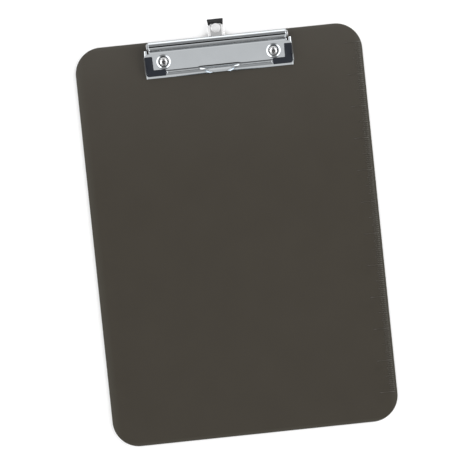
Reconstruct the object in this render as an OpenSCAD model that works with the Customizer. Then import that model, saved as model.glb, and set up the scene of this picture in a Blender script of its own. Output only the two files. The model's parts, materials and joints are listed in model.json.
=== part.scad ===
// Letter-size clipboard with a low-profile spring clip and a pull-out hanging hook.
// Millimetres, +Z up off the writing face, +Y towards the clip edge.
// The origin is the centre of the board's back face.
// The clip is drawn in its own frame: y = 0 at the board's clip edge and z = 0 on the
// writing face, so everything on the board has negative y.

/* [Board] */
// Width of the board, side to side
board_width = 228; // [180:1:330]
// Length of the board, from the bottom edge to the clip edge
board_length = 318; // [240:1:460]
// Thickness of the board
board_thickness = 3; // [2.8:0.1:4]
// Radius of the board's corners
corner_radius = 21; // [8:1:30]

/* [Jaw] */
// Length of the rolled rear edge of the jaw
roll_length = 109; // [104:0.5:109.5]
// Outer radius of the rolled rear edge
roll_radius = 4; // [3.9:0.05:4.1]
// Thickness of the jaw's sheet steel
jaw_sheet = 0.7; // [0.5:0.05:0.8]
// Slope of the jaw's flat plate, down towards the front, in degrees
plate_slope = 18.5; // [17:0.5:19]
// Width of the jaw across its flat plate
jaw_width = 117; // [116.6:0.2:117.4]
// Lean of the jaw's side flanges, in degrees
flange_lean = 10; // [7:1:16]
// Width of the raised finger lift in the middle of the front bead
lift_width = 34; // [20:1:44]
// Diameter of the access holes over the rivets
access_hole_d = 8.6; // [8.2:0.1:8.8]

/* [Hinge] */
// Height of the hinge rod's axis over the writing face
hinge_height = 6.4; // [6.3:0.1:6.8]
// Distance of the hinge rod's axis from the clip edge
hinge_setback = 4.7; // [4.5:0.1:5]
// Diameter of the hinge rod
rod_d = 3; // [2.6:0.1:3]
// Diameter of the spring's wire
wire_d = 1.4; // [1:0.1:1.4]
// Turns in the spring's coil
coil_turns = 16; // [10:1:16]

/* [Base plate] */
// Thickness of the base plate's sheet steel
base_sheet = 0.8; // [0.6:0.05:0.9]
// Distance between the two rivets
rivet_pitch = 87.2; // [82:0.2:88]
// Distance of the rivets from the clip edge
rivet_setback = 16.8; // [16.4:0.1:17]

/* [Hanging hook] */
// Width of the hook's strip
hook_width = 13; // [10:0.5:13]
// Reach of the hook past the clip edge when it is pulled out
hook_reach = 12.6; // [12:0.1:14]
// Diameter of the hole that hangs on a nail
hang_hole_d = 7.2; // [5:0.1:7.2]

/* [Hidden] */
$fn = 64;
big = 300;

// Hinge and its fits
axis = [-hinge_setback, hinge_height];
rod_r = rod_d / 2;
running_gap = 0.05;
cheek = 0.8;
lug_gap = 0.3;
lug_x = roll_length / 2 + lug_gap;
lug_radius = 2.9;
rod_head = [2.2, 0.7];
roll_inner = roll_radius - jaw_sheet;
roll_start = -45;
roll_end = 186;

// Jaw, top surface from the roll to the front edge
jaw_clearance = 0.08;
flange_rear = -7.5;
plate_rear = [-8.4, 7.1];
bend_steps = 5;
relief = [roll_length / 2 + 0.5, roll_length / 2 + 1.5, -10.3];
function plate_z(y) = plate_rear[1] + tan(plate_slope) * (y - plate_rear[0]);
valley_y = -24;
bead = [-25.4, 2.6];
groove = [-27.25, 1.42];
foot = [-29.05, 0.75];
front_edge = [-29.15, jaw_clearance];
jaw_rounds = [0, 0.7, 0.6, 0.4, 0.55, 0];
collar = [1.3, 0.6];
lift_arc = 66;
lift_top = 3.6;
lift_front = -27.7;

// Rubber pads
pad_inner_x = 52.2;
pad_outer_x = 58.2;
pad_end_x = 42.6;
pad_top_y = -12.3;
pad_cross_y = -22.8;
pad_front_y = -27.3;
pad_corner = 2;
pad_proud = 0.15;
pad_toe = 3.05;
pad_bottom = 0.06;

// Spring
coil_radius = rod_r + 0.85;
coil_half = 13;
wire_r = wire_d / 2;
wire_sides = 6;
coil_steps = 12;
jaw_leg = 3.4;
pass_notch = 0.6;
base_leg_bend = [-11.9, 1.5];
base_leg_end = [-16.2, 1.5];

// Base plate
base_half = 51.6;
base_front = -22.2;
base_rear = -1.2;
base_corner = 3;
lug_base = [-8, -1.4];
channel_height = 1.3;
channel_side = 0.3;
channel_front = -19.6;
neck_y = -4.3;
bridge_y = [-15.2, -12.4];
bridge_gap = 1.2;
bridge_roof = base_leg_end[1] + wire_r + 0.05;

// Rivets
rivet_x = rivet_pitch / 2;
shank_r = 2.5;
rivet_bore_r = 1.4;
rivet_head_r = 3.7;
rivet_head_t = 1.2;
counterbore = [5.6, 1.4];
washer = [5.2, 0.5];
rolled_end = [3.6, 0.6];

// Hanging hook
hook_sheet = 0.6;
hook_lift = 0.1;
hook_arch = 0.4;
hook_flat = 4.2;
hook_hole_y = 6;
lip_start = hook_reach - 2.8;
lip_rise = 4.1;
tail_y = [-7.6, -4.6];
tail_half = 9;

// ---- helpers ----

function side_of(v) = [-v[1], v[0]] / norm(v);

// A path moved sideways by d, with mitred corners
function offset_path(p, d) = [for (i = [0 : len(p) - 1])
    let (before = side_of(p[max(i, 1)] - p[max(i, 1) - 1]),
         last = len(p) - 2,
         after = side_of(p[min(i, last) + 1] - p[min(i, last)]))
    p[i] + d * (before + after) / (1 + before * after)];

// The curve that rounds the corner at b, starting and ending s away from it
function bend(a, b, c, s) =
    let (from = b + s * (a - b) / norm(a - b), to = b + s * (c - b) / norm(c - b))
    [for (i = [0 : bend_steps]) let (t = i / bend_steps)
        pow(1 - t, 2) * from + 2 * t * (1 - t) * b + t * t * to];

// A path whose inner corners are rounded, each starting and ending its own distance away
function curve(p, rounds) = let (last = len(p) - 1)
    concat([p[0]], [for (i = [1 : last - 1]) each bend(p[i - 1], p[i], p[i + 1], rounds[i])],
           [p[last]]);

// The tangent of half the turn at b, positive for a turn to the left
function half_turn(a, b, c) = let (u = side_of(b - a), w = side_of(c - b))
    cross(u, w) / (1 + u * w);

// Places the clip's frame on the board
module on_clip() translate([0, board_length / 2, board_thickness]) children();

// Extrudes a shape drawn in the YZ plane along X, between two places
module along_x(from, to) translate([from, 0, 0]) rotate([90, 0, 90])
    linear_extrude(to - from) children();

// Extrudes a shape drawn in the XZ plane along Y, between two places
module along_y(from, to) translate([0, to, 0]) rotate([90, 0, 0])
    linear_extrude(to - from) children();

module box(x, y, z) translate([x[0], y[0], z[0]])
    cube([x[1] - x[0], y[1] - y[0], z[1] - z[0]]);

module both_sides() {
    children();
    mirror([1, 0, 0]) children();
}

module rounded_rectangle(width, length, r) {
    square([width - 2 * r, length], center = true);
    square([width, length - 2 * r], center = true);
    for (x = [-1, 1], y = [-1, 1])
        translate([x * (width / 2 - r), y * (length / 2 - r)]) circle(r, $fn = 96);
}

module at_rivet(side) on_clip() translate([side * rivet_x, -rivet_setback, 0]) children();

// ---- board ----

module board() color([0.28, 0.265, 0.24]) difference() {
    linear_extrude(board_thickness)
        rounded_rectangle(board_width, board_length, corner_radius);
    for (side = [-1, 1]) at_rivet(side) {
        translate([0, 0, -board_thickness - 1])
            cylinder(h = board_thickness + 2, r = shank_r + running_gap);
        translate([0, 0, -board_thickness - 1]) cylinder(h = counterbore[1] + 1, r = counterbore[0]);
    }
}

// ---- base plate: riveted down, with hinge lugs and the hook's channel ----

module hook_channel(grow, top) {
    neck = hook_width / 2 + channel_side + grow;
    wide = tail_half + channel_side + grow;
    box([-neck, neck], [neck_y - 1, 1], [-1, top]);
    box([-wide, wide], [channel_front - grow, neck_y + grow], [-1, top]);
}

module base_sheet_outline() {
    length = base_rear - base_front;
    translate([0, (base_rear + base_front) / 2]) rounded_rectangle(2 * base_half, length, base_corner);
    translate([-lug_x - 0.4, lug_base[0]])
        square([2 * lug_x + 0.8, lug_base[1] - lug_base[0]]);
}

module hinge_lug() along_x(lug_x, lug_x + base_sheet) difference() {
    union() {
        translate(axis) circle(lug_radius);
        translate([axis[0] - lug_radius, 0]) square([2 * lug_radius, axis[1]]);
        translate([lug_base[0], 0]) square([lug_base[1] - lug_base[0], base_sheet]);
    }
    translate(axis) circle(rod_r);
}

// A lanced strip that holds the spring's long leg down
module spring_bridge() difference() {
    outer = bridge_gap + base_sheet;
    box([-coil_half - outer, -coil_half + outer], bridge_y, [0, bridge_roof + base_sheet]);
    box([-coil_half - bridge_gap, -coil_half + bridge_gap], [bridge_y[0] - 1, bridge_y[1] + 1],
        [-1, bridge_roof]);
}

module base_plate() color([0.72, 0.73, 0.75]) on_clip() {
    difference() {
        union() {
            linear_extrude(base_sheet) base_sheet_outline();
            intersection() {
                hook_channel(base_sheet, channel_height + base_sheet);
                box([-big, big], [-big, base_rear], [0, big]);
            }
        }
        hook_channel(0, channel_height);
        for (side = [-1, 1]) translate([side * rivet_x, -rivet_setback, -1])
            cylinder(h = 3, r = shank_r + running_gap);
        box([-coil_half - bridge_gap, -coil_half + bridge_gap], bridge_y, [-1, 1]);
    }
    both_sides() hinge_lug();
    spring_bridge();
}

// ---- rivets: tubular, spread over a washer in the board's counterbore ----

module rivet(side) color([0.85, 0.86, 0.87]) at_rivet(side) {
    top = base_sheet + rivet_head_t;
    washer_under = counterbore[1] - board_thickness - washer[1];
    rotate_extrude() polygon([
        [rivet_bore_r, top - 0.7], [rivet_bore_r + 0.35, top - 0.3],
        [rivet_bore_r + 0.8, top - 0.5], [rivet_head_r - 1, top - 0.05],
        [rivet_head_r - 0.8, top - 0.05], [rivet_head_r, base_sheet + 0.4],
        [rivet_head_r, base_sheet], [shank_r, base_sheet],
        [shank_r, washer_under], [rolled_end[0], washer_under],
        [rolled_end[0] - 0.5, washer_under - rolled_end[1]],
        [rivet_bore_r + 0.6, washer_under - rolled_end[1]],
        [rivet_bore_r, washer_under - 0.2]]);
}

module rivet_washer(side) color([0.8, 0.81, 0.82]) at_rivet(side)
    translate([0, 0, counterbore[1] - board_thickness - washer[1]]) difference() {
        cylinder(h = washer[1], r = washer[0]);
        translate([0, 0, -1]) cylinder(h = washer[1] + 2, r = shank_r + running_gap);
    }

// ---- hinge rod: riveted over outside the lugs ----

module hinge_rod() color([0.7, 0.71, 0.72]) on_clip() {
    end = lug_x + base_sheet;
    along_x(-end, end) translate(axis) circle(rod_r);
    both_sides() along_x(end, end + rod_head[1]) translate(axis) circle(rod_head[0]);
}

// ---- torsion spring: one leg under the bridge, the other under the roll's free edge ----

// A point of the coil's centre line, at angle a round the rod
function coil_point(x, a) = [x, axis[0] + coil_radius * cos(a), axis[1] + coil_radius * sin(a)];

// The base leg leaves the coil where its tangent runs down to the bridge
leg_run = base_leg_bend - axis;
leg_angle = atan2(leg_run[1], leg_run[0]) + acos(coil_radius / norm(leg_run));
sweep = 360 * (coil_turns - 1) + (270 - leg_angle);

function spring_path() = concat(
    [for (p = [base_leg_end, base_leg_bend]) [-coil_half, p[0], p[1]]],
    [for (i = [0 : coil_steps * coil_turns]) let (t = i / (coil_steps * coil_turns))
        coil_point(-coil_half + 2 * coil_half * t, leg_angle + sweep * t)],
    [[coil_half, axis[0] + jaw_leg, axis[1] - coil_radius]]);

// A round tube of n sides along a path in space
module tube(path, r, n) {
    last = len(path) - 1;
    rings = [for (i = [0 : last])
        let (ahead = path[min(i + 1, last)] - path[max(i - 1, 0)],
             d = ahead / norm(ahead),
             u = cross(d, [1, 0, 0]) / norm(cross(d, [1, 0, 0])),
             v = cross(d, u))
        for (k = [0 : n - 1]) path[i] + r * (cos(360 * k / n) * u + sin(360 * k / n) * v)];
    walls = [for (i = [0 : last - 1], k = [0 : n - 1], half = [0, 1]) let (m = (k + 1) % n)
        half == 0 ? [i * n + k, (i + 1) * n + k, (i + 1) * n + m]
                  : [i * n + k, (i + 1) * n + m, i * n + m]];
    polyhedron(rings, concat(walls, [[for (k = [0 : n - 1]) k]],
        [[for (k = [n - 1 : -1 : 0]) last * n + k]]));
}

module torsion_spring() color([0.55, 0.56, 0.58]) on_clip()
    tube(spring_path(), wire_r, wire_sides);

// ---- jaw: one pressing, from the rolled rear edge to the front foot ----

jaw_corners = [[flange_rear, plate_z(flange_rear)], [valley_y, plate_z(valley_y)],
               bead, groove, foot, front_edge];
jaw_line = curve(jaw_corners, jaw_rounds);

// The underside keeps the sheet's thickness round each bend
jaw_underside = curve(offset_path(jaw_corners, jaw_sheet),
    [for (i = [0 : len(jaw_rounds) - 1]) jaw_rounds[i] == 0 ? 0
        : jaw_rounds[i] - jaw_sheet * half_turn(jaw_corners[i - 1], jaw_corners[i], jaw_corners[i + 1])]);

function under(line, low) = concat(line, [[line[len(line) - 1][0], low], [line[0][0], low]]);

// The solid block under the jaw's skin, or the hollow under its sheet. The side flanges
// lean out square to the sloping plate, so their top edges run straight.
module jaw_block(line, low, inset) intersection() {
    union() {
        along_x(-big, big) polygon(under(line, low));
        finger_lift(low, inset);
    }
    translate([0, plate_rear[0], plate_rear[1]]) rotate([plate_slope, 0, 0])
        along_y(-40, 10) polygon([for (p = [[-1, -16], [1, -16], [1, 6], [-1, 6]])
            [p[0] * (jaw_width / 2 - inset - tan(flange_lean) * p[1]), p[1]]]);
}

// The middle of the bead swells up and forward into a lip for a fingertip, curved in plan
// and falling away to the sides
module finger_lift(low, inset) {
    top = lift_top - inset;
    rear = plate_z(valley_y) - inset - 0.1;
    front = lift_arc + valley_y - lift_front - 1.2 * inset;
    fall = pow(lift_width / 2, 2) / (2 * (lift_top - bead[1] + 0.4));
    intersection() {
        translate([0, lift_arc + valley_y, 0]) rotate_extrude($fn = 192)
            polygon([[lift_arc - 1, low], [lift_arc - 1, rear - 0.1],
                     [lift_arc + 0.3 + 0.4 * inset, rear], [front - 1.5, top],
                     [front - 0.9, top - 0.1], [front, low + 0.6], [front, low]]);
        along_y(lift_front - 1, valley_y + 2) translate([0, lift_top - fall])
            circle(fall - inset, $fn = 360);
        box([-lift_width / 2, lift_width / 2], [lift_front - 1, valley_y + 2], [low, 8]);
    }
}

module roll() {
    half = roll_length / 2;
    along_x(-half, half) translate(axis) difference() {
        circle(roll_radius);
        circle(roll_inner);
        polygon(concat([[0, 0]], [for (a = [roll_end, 230, 270, roll_start + 360])
            2 * roll_radius * [cos(a), sin(a)]]));
    }
    both_sides() along_x(half - cheek, half) translate(axis) difference() {
        circle(roll_radius);
        circle(rod_r + running_gap);
    }
}

// A notch in the roll's free edge: the spring's short leg bears on one and pushes the jaw
// shut, and the other clears the long leg as the jaw swings up
module leg_notch(x, top) box([x - bridge_gap, x + bridge_gap], [axis[0], 0], [0, top]);

// The dished collar round an access hole: a cone square to the plate, its rim at height z
module collar_cone(z, wider) at_each_hole() translate([0, 0, z - collar[1]])
    cylinder(h = collar[1] + wider, r1 = access_hole_d / 2,
             r2 = access_hole_d / 2 + collar[0] * (1 + wider / collar[1]));

module at_each_hole() for (side = [-1, 1])
    translate([side * rivet_x, -rivet_setback, plate_z(-rivet_setback)])
        rotate([plate_slope, 0, 0]) children();

module jaw_plate() color([0.78, 0.79, 0.8]) on_clip() {
    difference() {
        union() {
            difference() {
                jaw_block(jaw_line, jaw_clearance, 0);
                jaw_block(jaw_underside, -1, jaw_sheet);
            }
            collar_cone(-jaw_sheet, 0.1);
        }
        collar_cone(0, 0.1);
        box([-relief[0], relief[0]], [plate_rear[0], 0], [-1, 10]);
        both_sides() box([relief[0] - 1, relief[1]], [relief[2], 0], [-1, 10]);
        at_each_hole() translate([0, 0, -4]) cylinder(h = 8, r = access_hole_d / 2);
        both_sides() linear_extrude(10) pad_outline();
    }
    difference() {
        roll();
        leg_notch(coil_half, axis[1] - coil_radius + wire_r + 0.05);
        leg_notch(-coil_half, axis[1] - pass_notch);
    }
}

// ---- rubber pads: L-shaped, pressed through the slots in the jaw's corners ----

module pad_outline() {
    difference() {
        union() {
            translate([pad_inner_x, pad_front_y])
                square([pad_outer_x - pad_inner_x, pad_top_y - pad_front_y]);
            translate([pad_end_x, pad_front_y])
                square([pad_outer_x - pad_end_x, pad_cross_y - pad_front_y]);
        }
        translate([pad_outer_x - pad_corner, pad_front_y - 1]) square(pad_corner + 1);
    }
    translate([pad_outer_x - pad_corner, pad_front_y + pad_corner]) circle(pad_corner);
}

module grip_pad() color([0.14, 0.155, 0.19]) on_clip() {
    rear_z = plate_z(pad_top_y) + pad_proud;
    toe_y = pad_top_y - (rear_z - pad_toe) / tan(plate_slope);
    intersection() {
        linear_extrude(10) pad_outline();
        along_x(0, big) polygon([
            [pad_top_y, pad_bottom], [pad_top_y, rear_z], [toe_y, pad_toe],
            [pad_front_y + 0.5, pad_toe], [pad_front_y, pad_toe - 0.5],
            [pad_front_y, pad_bottom]]);
    }
}

// ---- hanging hook: an arched strip with a turned-up lip and a wide tail ----

module hook_lip() {
    low = hook_lift + hook_arch;
    line = concat([[lip_start - 2, low + hook_sheet]],
        bend([lip_start - 2, low + hook_sheet], [lip_start + 0.3, low + hook_sheet],
             [hook_reach, lip_rise], 1), [[hook_reach, lip_rise]]);
    back = offset_path(line, -hook_sheet);
    along_x(-hook_width / 2, hook_width / 2)
        polygon(concat(line, [for (i = [len(back) - 1 : -1 : 0]) back[i]]));
}

module hanging_hook() color([0.78, 0.78, 0.79]) on_clip() difference() {
    union() {
        along_y(tail_y[0], lip_start) polygon([
            [-hook_width / 2, hook_lift], [-hook_flat, hook_lift + hook_arch],
            [hook_flat, hook_lift + hook_arch], [hook_width / 2, hook_lift],
            [hook_width / 2, hook_lift + hook_sheet],
            [hook_flat, hook_lift + hook_arch + hook_sheet],
            [-hook_flat, hook_lift + hook_arch + hook_sheet],
            [-hook_width / 2, hook_lift + hook_sheet]]);
        hook_lip();
        box([-tail_half, tail_half], tail_y, [hook_lift, hook_lift + hook_sheet + 0.2]);
    }
    translate([0, hook_hole_y, -1]) cylinder(h = 4, r = hang_hole_d / 2);
}

// ---- what is drawn ----

board();
base_plate();
rivet(-1);  // rivet_left
rivet(1);  // rivet_right
rivet_washer(-1);  // rivet_washer_left
rivet_washer(1);  // rivet_washer_right
hinge_rod();
torsion_spring();
jaw_plate();
mirror([1, 0, 0]) grip_pad();  // grip_pad_left
grip_pad();  // grip_pad_right
hanging_hook();
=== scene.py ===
"""Looks of a letter-size clipboard: a moulded smoke plastic board, a nickel-plated spring clip
with rubber corner pads, and a hook that slides out to hang it on a nail."""
import json
import math

import bpy
import numpy as np
from mathutils import Matrix, Vector
from mathutils.geometry import delaunay_2d_cdt


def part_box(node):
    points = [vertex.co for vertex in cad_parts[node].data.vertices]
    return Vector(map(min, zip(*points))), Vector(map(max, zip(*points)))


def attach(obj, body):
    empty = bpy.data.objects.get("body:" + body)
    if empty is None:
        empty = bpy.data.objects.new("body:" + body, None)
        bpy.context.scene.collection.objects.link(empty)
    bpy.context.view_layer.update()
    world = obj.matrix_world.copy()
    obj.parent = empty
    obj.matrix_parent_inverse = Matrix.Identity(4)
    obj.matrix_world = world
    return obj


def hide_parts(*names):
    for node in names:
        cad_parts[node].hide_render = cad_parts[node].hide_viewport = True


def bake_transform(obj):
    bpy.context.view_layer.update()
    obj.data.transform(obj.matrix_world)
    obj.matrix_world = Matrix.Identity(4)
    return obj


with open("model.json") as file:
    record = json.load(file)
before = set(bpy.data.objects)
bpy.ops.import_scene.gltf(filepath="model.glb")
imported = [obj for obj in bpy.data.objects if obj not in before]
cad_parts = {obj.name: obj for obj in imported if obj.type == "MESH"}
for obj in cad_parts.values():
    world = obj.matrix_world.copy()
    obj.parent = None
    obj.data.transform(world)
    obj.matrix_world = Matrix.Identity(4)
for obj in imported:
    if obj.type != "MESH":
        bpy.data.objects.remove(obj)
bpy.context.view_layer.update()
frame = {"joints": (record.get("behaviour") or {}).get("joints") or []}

# ---- places from the frame. Shapes are in millimetres, with y = 0 at the board's clip edge
# ---- and z = 0 on its writing face.
MM = 0.001
board_low, board_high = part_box("board")
FACE_ORIGIN = np.array([0, board_high.y, board_high.z]) / MM


def box_mm(node):
    """A CAD piece's box, in millimetres from FACE_ORIGIN."""
    low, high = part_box(node)
    return np.array(low) / MM - FACE_ORIGIN, np.array(high) / MM - FACE_ORIGIN


BOARD_LOW, BOARD_HIGH = box_mm("board")
JAW_LOW, JAW_HIGH = box_mm("jaw_plate")
_, ROD_HIGH = box_mm("hinge_rod")
HOOK_LOW, HOOK_HIGH = box_mm("hanging_hook")
RIVET_LOW, RIVET_HIGH = box_mm("rivet_right")
WASHER_LOW, WASHER_HIGH = box_mm("rivet_washer_right")
PAD_LOW, PAD_HIGH = box_mm("grip_pad_right")
hinge = next(j for j in frame["joints"] if j["name"] == "jaw_hinge")
HINGE = (np.array(hinge["pos_m"]) / MM - FACE_ORIGIN)[1:]   # (y, z) of the rod's axis
RIVET = ((RIVET_LOW + RIVET_HIGH) / 2)[:2]   # (x, y) of the right rivet
SIDES = ((-1, "left"), (1, "right"))


def new_object(name, data):
    made = bpy.data.objects.new(name, data)
    bpy.context.scene.collection.objects.link(made)
    return made


# ---- outlines and paths, as arrays of 2-D points ----

def unit(vectors):
    return vectors / np.linalg.norm(vectors, axis=-1, keepdims=True)


def rounded(corners, closed=True, step=0.12):
    """The path through corners (x, y, radius), with each corner turned into an arc."""
    corners = np.array(corners, float)
    path = []
    for i, (x, y, radius) in enumerate(corners):
        here = np.array([x, y])
        ends = not closed and i in (0, len(corners) - 1)
        if radius == 0 or ends:
            path.append(here)
            continue
        back = corners[i - 1][:2] - here
        ahead = corners[(i + 1) % len(corners)][:2] - here
        a, b = unit(back), unit(ahead)
        half = math.acos(np.clip(a @ b, -1, 1)) / 2
        reach = radius / math.tan(half)
        centre = here + unit(a + b) * radius / math.sin(half)
        start, end = here + a * reach - centre, here + b * reach - centre
        turn = math.pi - 2 * half
        sign = np.sign(start[0] * end[1] - start[1] * end[0])
        for t in np.linspace(0, turn, max(3, math.ceil(radius * turn / step) + 1)):
            c, s = math.cos(t), sign * math.sin(t)
            path.append(centre + [c * start[0] - s * start[1], s * start[0] + c * start[1]])
    return np.array(path)


def mirrored(corners):
    """The same corners on the other side of x = 0, in the order that closes the outline."""
    return [(-x, y, radius) for x, y, radius in corners[::-1]]


def arc(centre, radius, start, end, step=0.02):
    turn = np.linspace(start, end, max(2, math.ceil(abs(end - start) * radius / step)))
    return np.array(centre) + radius * np.stack([np.cos(turn), np.sin(turn)], 1)


def circle(centre, radius, count=72, clockwise=False):
    turn = np.arange(count) * 2 * math.pi / count * (-1 if clockwise else 1)
    return np.array(centre) + radius * np.stack([np.cos(turn), np.sin(turn)], 1)


def moved_left(loop, distance):
    """A closed loop moved sideways, towards the material on its left."""
    before = unit(loop - np.roll(loop, 1, 0))
    after = unit(np.roll(loop, -1, 0) - loop)
    a = np.stack([-before[:, 1], before[:, 0]], 1)
    b = np.stack([-after[:, 1], after[:, 0]], 1)
    return loop + distance * (a + b) / (1 + np.sum(a * b, 1, keepdims=True))


def distances(path):
    """How far along an open path each of its points is."""
    return np.concatenate([[0], np.cumsum(np.linalg.norm(np.diff(path, axis=0), axis=1))])


def smooth_step(x):
    """0 below 0 and 1 above 1, with an S-shaped rise between."""
    x = np.clip(x, 0, 1)
    return x * x * (3 - 2 * x)


def grid(lines_u, lines_v):
    u, v = np.meshgrid(lines_u, lines_v)
    return np.stack([u.ravel(), v.ravel()], 1)


def inside(points, loops):
    """Which points lie in the material between these loops."""
    found = np.zeros(len(points), bool)
    x, y = points[:, 0], points[:, 1]
    for loop in loops:
        for (x0, y0), (x1, y1) in zip(loop, np.roll(loop, -1, 0)):
            if y0 != y1:
                crossing = (y0 > y) != (y1 > y)
                found ^= crossing & (x < x0 + (y - y0) * (x1 - x0) / (y1 - y0))
    return found


def clearance(points, loops):
    """Each point's distance from the nearest loop."""
    nearest = np.full(len(points), np.inf)
    for loop in loops:
        for a, b in zip(loop, np.roll(loop, -1, 0)):
            along = np.clip((points - a) @ (b - a) / max((b - a) @ (b - a), 1e-12), 0, 1)
            gap = np.linalg.norm(points - a - along[:, None] * (b - a), axis=1)
            nearest = np.minimum(nearest, gap)
    return nearest


# ---- solids ----

SHARP_ANGLE = math.radians(50)


class Solid:
    """Vertices and faces of one piece, built from rings of points joined by strips and caps."""

    def __init__(self):
        self.points, self.faces = [], []

    def ring(self, points):
        """Adds vertices and gives back their numbers."""
        first = len(self.points)
        self.points.extend(points)
        return list(range(first, len(self.points)))

    def strips(self, rings):
        """Joins each ring to the next with quads."""
        for a, b in zip(rings, rings[1:]):
            for i in range(len(a)):
                j = (i + 1) % len(a)
                self.faces.append((a[i], a[j], b[j], b[i]))

    def ends(self, rings):
        """Closes a tube of rings with one face at each end."""
        self.faces += [tuple(rings[0][::-1]), tuple(rings[-1])]

    def cap(self, loops, rings, inner, place, flip=False):
        """Fills the area between flat loops, whose vertices are rings, through inner points.
        The outer loop runs anticlockwise, and place carries the inner points into the piece."""
        flat = np.concatenate([*loops, inner]) if len(inner) else np.concatenate(loops)
        edges, first = [], 0
        for loop in loops:
            count = len(loop)
            edges += [(first + i, first + (i + 1) % count) for i in range(count)]
            first += count
        made = delaunay_2d_cdt([Vector(p) for p in flat], edges, [], 0, 1e-6)
        crossings = [tuple(made[0][k]) for k, source in enumerate(made[3]) if not source]
        if crossings:
            raise ValueError(f"the loops cross at {crossings[:6]}")
        ids = [i for ring in rings for i in ring]
        ids += self.ring(place(inner)) if len(inner) else []
        centres = np.array([np.mean([made[0][k] for k in face], 0) for face in made[2]])
        for face, keep in zip(made[2], inside(centres, loops)):
            if keep:
                face = [ids[made[3][k][0]] for k in face]
                self.faces.append(face[::-1] if flip else face)

    def build(self, name, material, body, stands_for=()):
        """Makes the piece, which stands for these CAD nodes and moves with its body."""
        mesh = bpy.data.meshes.new(name)
        points = (np.array(self.points) + FACE_ORIGIN) * MM
        mesh.from_pydata(points.tolist(), [], self.faces)
        mesh.validate()
        mesh.shade_smooth()
        mesh.set_sharp_from_angle(angle=SHARP_ANGLE)
        piece = new_object(name, mesh)
        mesh.materials.append(material)
        if body:
            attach(piece, body)
        if stands_for:
            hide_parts(*stands_for)
        return piece


def slab(solid, loops, lines, surface, thickness, edge, up=None, extra=()):
    """A pressed sheet or a pad. The flat loops, the outer one first and holes clockwise, the
    grid lines between them and the extra points are carried onto surface(u, v), and down from
    it by the thickness, along up or square to the surface. The edges are rounded."""

    def place(flat, depth):
        u, v = flat[:, 0], flat[:, 1]
        top = surface(u, v)
        if up is not None:
            return top - np.multiply.outer(depth * np.ones(len(u)), np.array(up, float))
        nearby = 0.01
        along_u = surface(u + nearby, v) - surface(u - nearby, v)
        along_v = surface(u, v + nearby) - surface(u, v - nearby)
        depths = np.reshape(depth * np.ones(len(u)), (-1, 1))
        return top - depths * unit(np.cross(along_u, along_v))

    def depth_at(flat):
        return thickness(flat[:, 0], flat[:, 1]) if callable(thickness) else thickness

    corner = (1 - math.sqrt(0.5)) * edge
    inner = 1.6 * edge
    steps = [(inner, 0), (edge, 0), (corner, corner), (0, edge)]
    top_rings, bottom_rings, inner_loops = [], [], []
    for loop in loops:
        flats = [moved_left(loop, inset) for inset, _ in steps]
        rings = [solid.ring(place(flat, drop)) for flat, (_, drop) in zip(flats, steps)]
        rings += [solid.ring(place(flat, depth_at(flat) - drop))
                  for flat, (_, drop) in zip(flats[::-1], steps[::-1])]
        solid.strips(rings[::-1])
        top_rings.append(rings[0])
        bottom_rings.append(rings[-1])
        inner_loops.append(flats[0])
    points = np.concatenate([grid(*lines), *extra])
    points = points[inside(points, loops)]
    points = points[clearance(points, loops) > inner + 0.08]
    solid.cap(inner_loops, top_rings, points, lambda p: place(p, 0))
    solid.cap(inner_loops, bottom_rings, points, lambda p: place(p, depth_at(p)), flip=True)


def lathe(solid, profile, centre, count=96, along="z", capped=False):
    """Turns a profile of (radius, height) points round a line through centre. The profile is
    a closed loop, or with capped an open line from one flat end to the other."""
    turn = np.arange(count) * 2 * math.pi / count
    rings = []
    for radius, height in profile:
        a, b, h = radius * np.cos(turn), radius * np.sin(turn), np.full(count, height)
        local = np.stack([a, b, h] if along == "z" else [h, a, b], 1)
        rings.append(solid.ring(local + centre))
    solid.strips(rings if capped else [*rings, rings[0]])
    if capped:
        solid.ends(rings)


# ---- materials ----

def add_node(tree, kind, inputs=(), **settings):
    """A new shader node. Each input is another node's output or a plain value."""
    node = tree.nodes.new("ShaderNode" + kind)
    for key, value in settings.items():
        setattr(node, key, value)
    for key, value in dict(inputs).items():
        if isinstance(value, bpy.types.NodeSocket):
            tree.links.new(value, node.inputs[key])
        else:
            node.inputs[key].default_value = value
    return node


class Finish:
    """A principled material with a few shorthand calls for its nodes."""

    def __init__(self, name, **settings):
        self.material = bpy.data.materials.new(name)
        self.material.use_nodes = True
        self.tree = self.material.node_tree
        self.shader = self.tree.nodes["Principled BSDF"]
        for socket, value in settings.items():
            self.shader.inputs[socket].default_value = value
        self.place = self.node("TexCoord").outputs["Object"]

    def node(self, kind, inputs=(), **settings):
        return add_node(self.tree, kind, inputs, **settings)

    def math(self, operation, *values):
        return self.node("Math", enumerate(values), operation=operation).outputs[0]

    def noise(self, scale, detail=3, stretch=(1, 1, 1)):
        """Noise with features about 1 / scale metres across."""
        place = self.node("Mapping", {"Vector": self.place, "Scale": stretch}).outputs[0]
        return self.node("TexNoise", {"Vector": place, "Scale": scale, "Detail": detail}).outputs[0]

    def ramp(self, value, low, high, to_low=0.0, to_high=1.0):
        """The value's range from low to high, carried onto the range to_low to to_high."""
        inputs = {0: value, 1: low, 2: high, 3: to_low, 4: to_high}
        return self.node("MapRange", inputs).outputs[0]

    def mix(self, factor, a, b):
        """A blend of two colours, each an RGB tuple or another node's output."""
        a, b = (color if isinstance(color, bpy.types.NodeSocket) else (*color, 1) for color in (a, b))
        return self.node("Mix", {"Factor": factor, 6: a, 7: b}, data_type="RGBA").outputs[2]

    def drive(self, socket, value):
        self.tree.links.new(value, self.shader.inputs[socket])

    def bump(self, height, distance, strength=1.0):
        inputs = {"Height": height, "Distance": distance, "Strength": strength}
        self.drive("Normal", self.node("Bump", inputs).outputs[0])


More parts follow.
